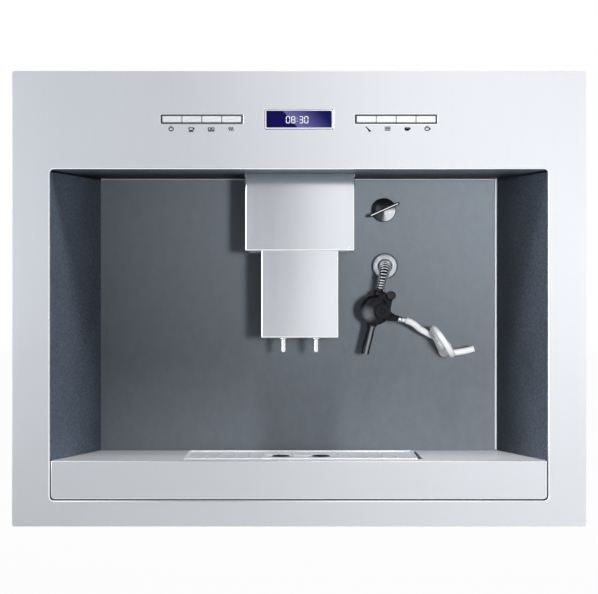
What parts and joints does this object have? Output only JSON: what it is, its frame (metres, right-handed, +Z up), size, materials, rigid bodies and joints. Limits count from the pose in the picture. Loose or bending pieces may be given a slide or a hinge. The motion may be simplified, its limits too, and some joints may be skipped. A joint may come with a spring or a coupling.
{
  "type": "built in coffee machine",
  "caption": "Built-in coffee machine: flat steel fascia round a wide cup niche, height-adjustable spout, steam wand with milk frother, drip drawer and pull-out runners.",
  "frame": {"origin": "middle of the whole machine's outline on the cabinet shelf it stands on", "axes": "+X to the user's right along the fascia, +Y into the cabinet, +Z up"},
  "size_m": [0.595, 0.445, 0.474],
  "materials": {
    "satin_steel": "satin, fine vertical grain",
    "zinc_sheet": "galvanised sheet",
    "dark_liner": "fine textured paint",
    "back_sheet": "metallic paint with a fine grain",
    "chrome": "polished",
    "black_gloss": "glossy moulded",
    "black_plastic": "fine grained moulded",
    "grey_plastic": "fine grained moulded",
    "silver_key": "silver lacquer",
    "display_glass": "dark blue glass",
    "circuit_board": "solder mask",
    "clear_plastic": "smoked clear",
    "cast_aluminium": "cast",
    "brass": "turned",
    "silicone": "white silicone"
  },
  "bodies": {
    "cabinet_base": {"base_plate": "zinc_sheet", "runner_outer_left": "zinc_sheet", "runner_outer_right": "zinc_sheet"},
    "runner_middles": {"runner_middle_left": "zinc_sheet", "runner_middle_right": "zinc_sheet"},
    "machine": {"fascia": "satin_steel", "spout_hood": "satin_steel", "steam_escutcheon": "satin_steel", "chassis_pan": "zinc_sheet", "side_panel_left": "zinc_sheet", "side_panel_right": "zinc_sheet", "rear_panel": "zinc_sheet", "top_panel": "zinc_sheet", "equipment_shelf": "zinc_sheet", "runner_inner_left": "zinc_sheet", "runner_inner_right": "zinc_sheet", "niche_liner": "dark_liner", "niche_back_panel": "back_sheet", "brew_unit": "black_plastic", "pump": "black_plastic", "power_inlet": "black_plastic", "control_carrier": "grey_plastic", "grinder_housing": "grey_plastic", "display_window": "display_glass", "control_board": "circuit_board", "bean_hopper": "clear_plastic", "boiler": "cast_aluminium", "steam_valve": "brass"},
    "drawer": {"drawer_front": "satin_steel", "drawer_deck": "satin_steel", "drawer_tray": "black_plastic", "drip_basin": "black_plastic", "grounds_bin": "black_plastic"},
    "drip_grid": {"drip_grid": "satin_steel"},
    "spout_carriage": {"spout_carriage": "satin_steel", "spout_left": "chrome", "spout_right": "chrome"},
    "steam_knob": {"steam_knob": "black_gloss", "knob_grip": "black_gloss"},
    "steam_wand": {"steam_pipe": "chrome", "steam_spring": "chrome"},
    "frother": {"frother_body": "black_gloss", "frother_cap": "black_gloss", "frother_outlet": "black_gloss", "milk_nipple": "black_gloss", "milk_hose": "silicone"},
    "froth_dial": {"froth_dial": "black_plastic"},
    "bean_lid": {"bean_lid": "grey_plastic"},
    "water_tank": {"water_tank": "clear_plastic"},
    "grinder_burr": {"grinder_burr": "zinc_sheet"},
    "brew_piston": {"brew_piston": "grey_plastic"},
    "key_left_1": {"key_left_1": "silver_key"},
    "key_left_2": {"key_left_2": "silver_key"},
    "key_left_3": {"key_left_3": "silver_key"},
    "key_left_4": {"key_left_4": "silver_key"},
    "key_right_1": {"key_right_1": "silver_key"},
    "key_right_2": {"key_right_2": "silver_key"},
    "key_right_3": {"key_right_3": "silver_key"},
    "key_right_4": {"key_right_4": "silver_key"}
  },
  "joints": [
    {"name": "pull_out", "type": "slide", "parent": "cabinet_base", "child": "machine", "axis": [0, -1, 0], "range_m": [0, 0.35]},
    {"name": "runners_follow", "type": "slide", "parent": "cabinet_base", "child": "runner_middles", "axis": [0, -1, 0], "range_m": [0, 0.175]},
    {"name": "drawer_slide", "type": "slide", "parent": "machine", "child": "drawer", "axis": [0, -1, 0], "range_m": [0, 0.2]},
    {"name": "grid_lift", "type": "slide", "parent": "drawer", "child": "drip_grid", "axis": [0, 0, 1], "range_m": [0, 0.04]},
    {"name": "spout_height", "type": "slide", "parent": "machine", "child": "spout_carriage", "axis": [0, 0, 1], "range_m": [-0.05, 0.02]},
    {"name": "steam_knob_turn", "type": "hinge", "parent": "machine", "child": "steam_knob", "pos_m": [0.094, -0.1028, 0.336], "axis": [0, -1, 0], "range_deg": [0, 270]},
    {"name": "wand_swing", "type": "hinge", "parent": "machine", "child": "steam_wand", "pos_m": [0.095, -0.1025, 0.274], "axis": [0, 1, 0], "range_deg": [-20, 12]},
    {"name": "frother_turn", "type": "hinge", "parent": "steam_wand", "child": "frother", "pos_m": [0.08566, -0.1265, 0.23511], "axis": [0.2334, 0, 0.9724], "range_deg": [-60, 0]},
    {"name": "froth_dial_turn", "type": "hinge", "parent": "frother", "child": "froth_dial", "pos_m": [0.10045, -0.1265, 0.24143], "axis": [0, -1, 0], "range_deg": [0, 180]},
    {"name": "bean_lid_hinge", "type": "hinge", "parent": "machine", "child": "bean_lid", "pos_m": [0, 0.1635, 0.4478], "axis": [-1, 0, 0], "range_deg": [0, 100]},
    {"name": "water_tank_lift", "type": "slide", "parent": "machine", "child": "water_tank", "axis": [0, 0, 1], "range_m": [0, 0.12]},
    {"name": "burr_spin", "type": "hinge", "parent": "machine", "child": "grinder_burr", "pos_m": [0, 0.0955, 0.3], "axis": [0, 0, 1], "continuous": true},
    {"name": "brew_press", "type": "slide", "parent": "machine", "child": "brew_piston", "axis": [0, 0, 1], "range_m": [0, 0.03]},
    {"name": "key_left_1_press", "type": "slide", "parent": "machine", "child": "key_left_1", "axis": [0, 1, 0], "range_m": [0, 0.0012], "stiffness_N_per_m": 700, "springref_m": -0.001},
    {"name": "key_left_2_press", "type": "slide", "parent": "machine", "child": "key_left_2", "axis": [0, 1, 0], "range_m": [0, 0.0012], "stiffness_N_per_m": 700, "springref_m": -0.001},
    {"name": "key_left_3_press", "type": "slide", "parent": "machine", "child": "key_left_3", "axis": [0, 1, 0], "range_m": [0, 0.0012], "stiffness_N_per_m": 700, "springref_m": -0.001},
    {"name": "key_left_4_press", "type": "slide", "parent": "machine", "child": "key_left_4", "axis": [0, 1, 0], "range_m": [0, 0.0012], "stiffness_N_per_m": 700, "springref_m": -0.001},
    {"name": "key_right_1_press", "type": "slide", "parent": "machine", "child": "key_right_1", "axis": [0, 1, 0], "range_m": [0, 0.0012], "stiffness_N_per_m": 700, "springref_m": -0.001},
    {"name": "key_right_2_press", "type": "slide", "parent": "machine", "child": "key_right_2", "axis": [0, 1, 0], "range_m": [0, 0.0012], "stiffness_N_per_m": 700, "springref_m": -0.001},
    {"name": "key_right_3_press", "type": "slide", "parent": "machine", "child": "key_right_3", "axis": [0, 1, 0], "range_m": [0, 0.0012], "stiffness_N_per_m": 700, "springref_m": -0.001},
    {"name": "key_right_4_press", "type": "slide", "parent": "machine", "child": "key_right_4", "axis": [0, 1, 0], "range_m": [0, 0.0012], "stiffness_N_per_m": 700, "springref_m": -0.001}
  ],
  "couplings": [
    {"joint": "runners_follow", "follows": "pull_out", "ratio": 0.5}
  ]
}
